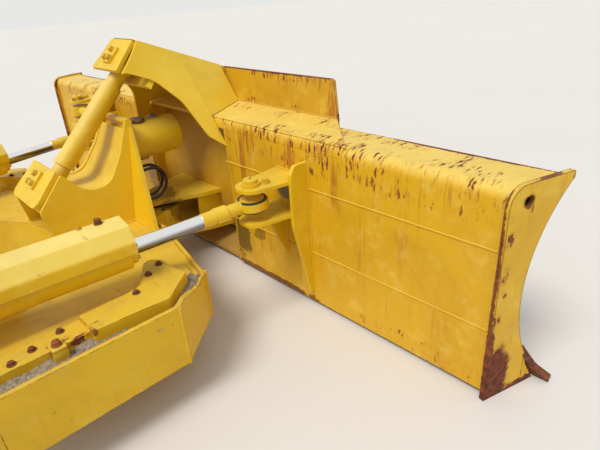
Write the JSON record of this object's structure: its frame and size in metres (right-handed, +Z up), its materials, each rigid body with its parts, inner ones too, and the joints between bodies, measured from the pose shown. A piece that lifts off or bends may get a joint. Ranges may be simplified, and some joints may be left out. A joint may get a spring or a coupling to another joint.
{
  "type": "dozer blade with push frame",
  "caption": "Six-way dozer blade with its U-shaped push frame, tower, pitch link, angle cylinders and tilt cylinder.",
  "frame": {"origin": "middle of the push arms' rear pivot axis", "axes": "+X forward to the blade, +Y to the left, +Z up"},
  "size_m": [2.9373, 4.1226, 1.2399],
  "materials": {
    "yellow_paint": "sun-faded yellow enamel with chips, rust and dust",
    "worn_paint": "yellow enamel worn to rust along edges and on the working face",
    "worn_steel": "bare steel, rusted and scraped",
    "chrome_rod": "bright hard chrome with a light oil film",
    "pin_steel": "dull steel with brown surface rust",
    "black_rubber": "dusty black rubber hose with steel end fittings"
  },
  "bodies": {
    "push_frame": {"frame_head": "yellow_paint", "belly_plate": "yellow_paint", "push_arm_right": "yellow_paint", "push_arm_left": "yellow_paint", "trunnion_eyes": "worn_steel", "tower_plate_right": "yellow_paint", "tower_plate_left": "yellow_paint", "tower_saddle": "yellow_paint", "tower_front": "yellow_paint", "tower_cap": "yellow_paint", "link_seat": "yellow_paint", "tower_rear": "yellow_paint", "link_low_pin": "pin_steel", "wing_gussets": "yellow_paint", "tilt_housing": "yellow_paint", "tilt_base_pin": "pin_steel", "tower_hoses": "black_rubber", "ball_socket": "yellow_paint", "hose_covers": "yellow_paint", "base_brackets": "yellow_paint", "base_pins": "pin_steel", "lift_lugs": "yellow_paint"},
    "ball": {"centre_ball": "pin_steel", "centre_pin": "pin_steel"},
    "blade": {"centre_fork": "yellow_paint", "mouldboard": "worn_paint", "back_panel_right": "yellow_paint", "back_panel_left": "yellow_paint", "pocket_top": "yellow_paint", "bottom_rail": "yellow_paint", "pocket_ribs": "yellow_paint", "end_plate_right": "worn_paint", "end_plate_left": "worn_paint", "cutting_edge": "worn_steel", "end_bits": "worn_steel", "hood_ramp": "yellow_paint", "hood_upstand": "yellow_paint", "mast_plate_right": "yellow_paint", "mast_plate_left": "yellow_paint", "mast_crown": "yellow_paint", "mast_face": "yellow_paint", "mast_seat": "yellow_paint", "link_top_pin": "pin_steel", "angle_bracket_right": "yellow_paint", "angle_bracket_left": "yellow_paint", "angle_pins": "pin_steel", "tilt_bracket": "yellow_paint", "tilt_pins": "pin_steel"},
    "angle_swing_right": {"angle_yoke_right": "yellow_paint"},
    "angle_swing_left": {"angle_yoke_left": "yellow_paint"},
    "angle_tube_right": {"angle_barrel_right": "yellow_paint", "angle_guard_right": "yellow_paint"},
    "angle_tube_left": {"angle_barrel_left": "yellow_paint", "angle_guard_left": "yellow_paint"},
    "angle_shaft_right": {"angle_rod_right": "chrome_rod"},
    "angle_shaft_left": {"angle_rod_left": "chrome_rod"},
    "tilt_swing": {"tilt_yoke": "yellow_paint"},
    "tilt_tube": {"tilt_barrel": "yellow_paint"},
    "tilt_shaft": {"tilt_rod": "chrome_rod"},
    "link": {"pitch_link": "yellow_paint"}
  },
  "joints": [
    {"name": "tilt", "type": "hinge", "parent": "push_frame", "child": "ball", "pos_m": [2.29, 0, -0.04], "axis": [1, 0, 0], "range_deg": [-5.5, 5.5]},
    {"name": "angle", "type": "hinge", "parent": "ball", "child": "blade", "pos_m": [2.29, 0, -0.04], "axis": [0, 0, 1], "range_deg": [-22, 22]},
    {"name": "angle_swing_right_turn", "type": "hinge", "parent": "push_frame", "child": "angle_swing_right", "pos_m": [0.96, -0.718, 0.23], "axis": [0, 0, 1], "range_deg": [-3, 3]},
    {"name": "angle_swing_left_turn", "type": "hinge", "parent": "push_frame", "child": "angle_swing_left", "pos_m": [0.96, 0.718, 0.23], "axis": [0, 0, 1], "range_deg": [-3, 3]},
    {"name": "angle_tube_right_pitch", "type": "hinge", "parent": "angle_swing_right", "child": "angle_tube_right", "pos_m": [0.96, -0.718, 0.23], "axis": [0.1365, 0.9906, 0], "range_deg": [-4, 4]},
    {"name": "angle_tube_left_pitch", "type": "hinge", "parent": "angle_swing_left", "child": "angle_tube_left", "pos_m": [0.96, 0.718, 0.23], "axis": [-0.1365, 0.9906, 0], "range_deg": [-4, 4]},
    {"name": "angle_shaft_right_slide", "type": "slide", "parent": "angle_tube_right", "child": "angle_shaft_right", "axis": [0.99, -0.1364, 0.0363], "range_m": [-0.345, 0.345]},
    {"name": "angle_shaft_left_slide", "type": "slide", "parent": "angle_tube_left", "child": "angle_shaft_left", "axis": [0.99, 0.1364, 0.0363], "range_m": [-0.345, 0.345]},
    {"name": "tilt_swing_turn", "type": "hinge", "parent": "push_frame", "child": "tilt_swing", "pos_m": [2.29, 0, 0.415], "axis": [0, 0, 1], "range_deg": [-22, 22]},
    {"name": "tilt_tube_pitch", "type": "hinge", "parent": "tilt_swing", "child": "tilt_tube", "pos_m": [2.29679, 0.13973, 0.4204], "axis": [0.9988, -0.0485, 0], "range_deg": [-7, 7]},
    {"name": "tilt_shaft_slide", "type": "slide", "parent": "tilt_tube", "child": "tilt_shaft", "axis": [0.0485, 0.9981, 0.0386], "range_m": [-0.05, 0.05]},
    {"name": "link_turn", "type": "hinge", "parent": "push_frame", "child": "link", "pos_m": [1.79, 0, 0.3], "axis": [-0.7071, 0, 0.7071], "range_deg": [-7, 7]}
  ],
  "couplings": [
    {"joint": "angle_swing_right_turn", "follows": "angle", "ratio": 0.112},
    {"joint": "angle_swing_left_turn", "follows": "angle", "ratio": 0.112},
    {"joint": "angle_tube_right_pitch", "follows": "tilt", "ratio": 0.62},
    {"joint": "angle_tube_left_pitch", "follows": "tilt", "ratio": -0.62},
    {"joint": "angle_shaft_right_slide", "follows": "angle", "m_per_rad": 0.877},
    {"joint": "angle_shaft_left_slide", "follows": "angle", "m_per_rad": -0.877},
    {"joint": "tilt_swing_turn", "follows": "angle", "ratio": 1},
    {"joint": "tilt_tube_pitch", "follows": "tilt", "ratio": 1.12},
    {"joint": "tilt_shaft_slide", "follows": "tilt", "m_per_rad": -0.44},
    {"joint": "link_turn", "follows": "tilt", "ratio": -1.188}
  ]
}
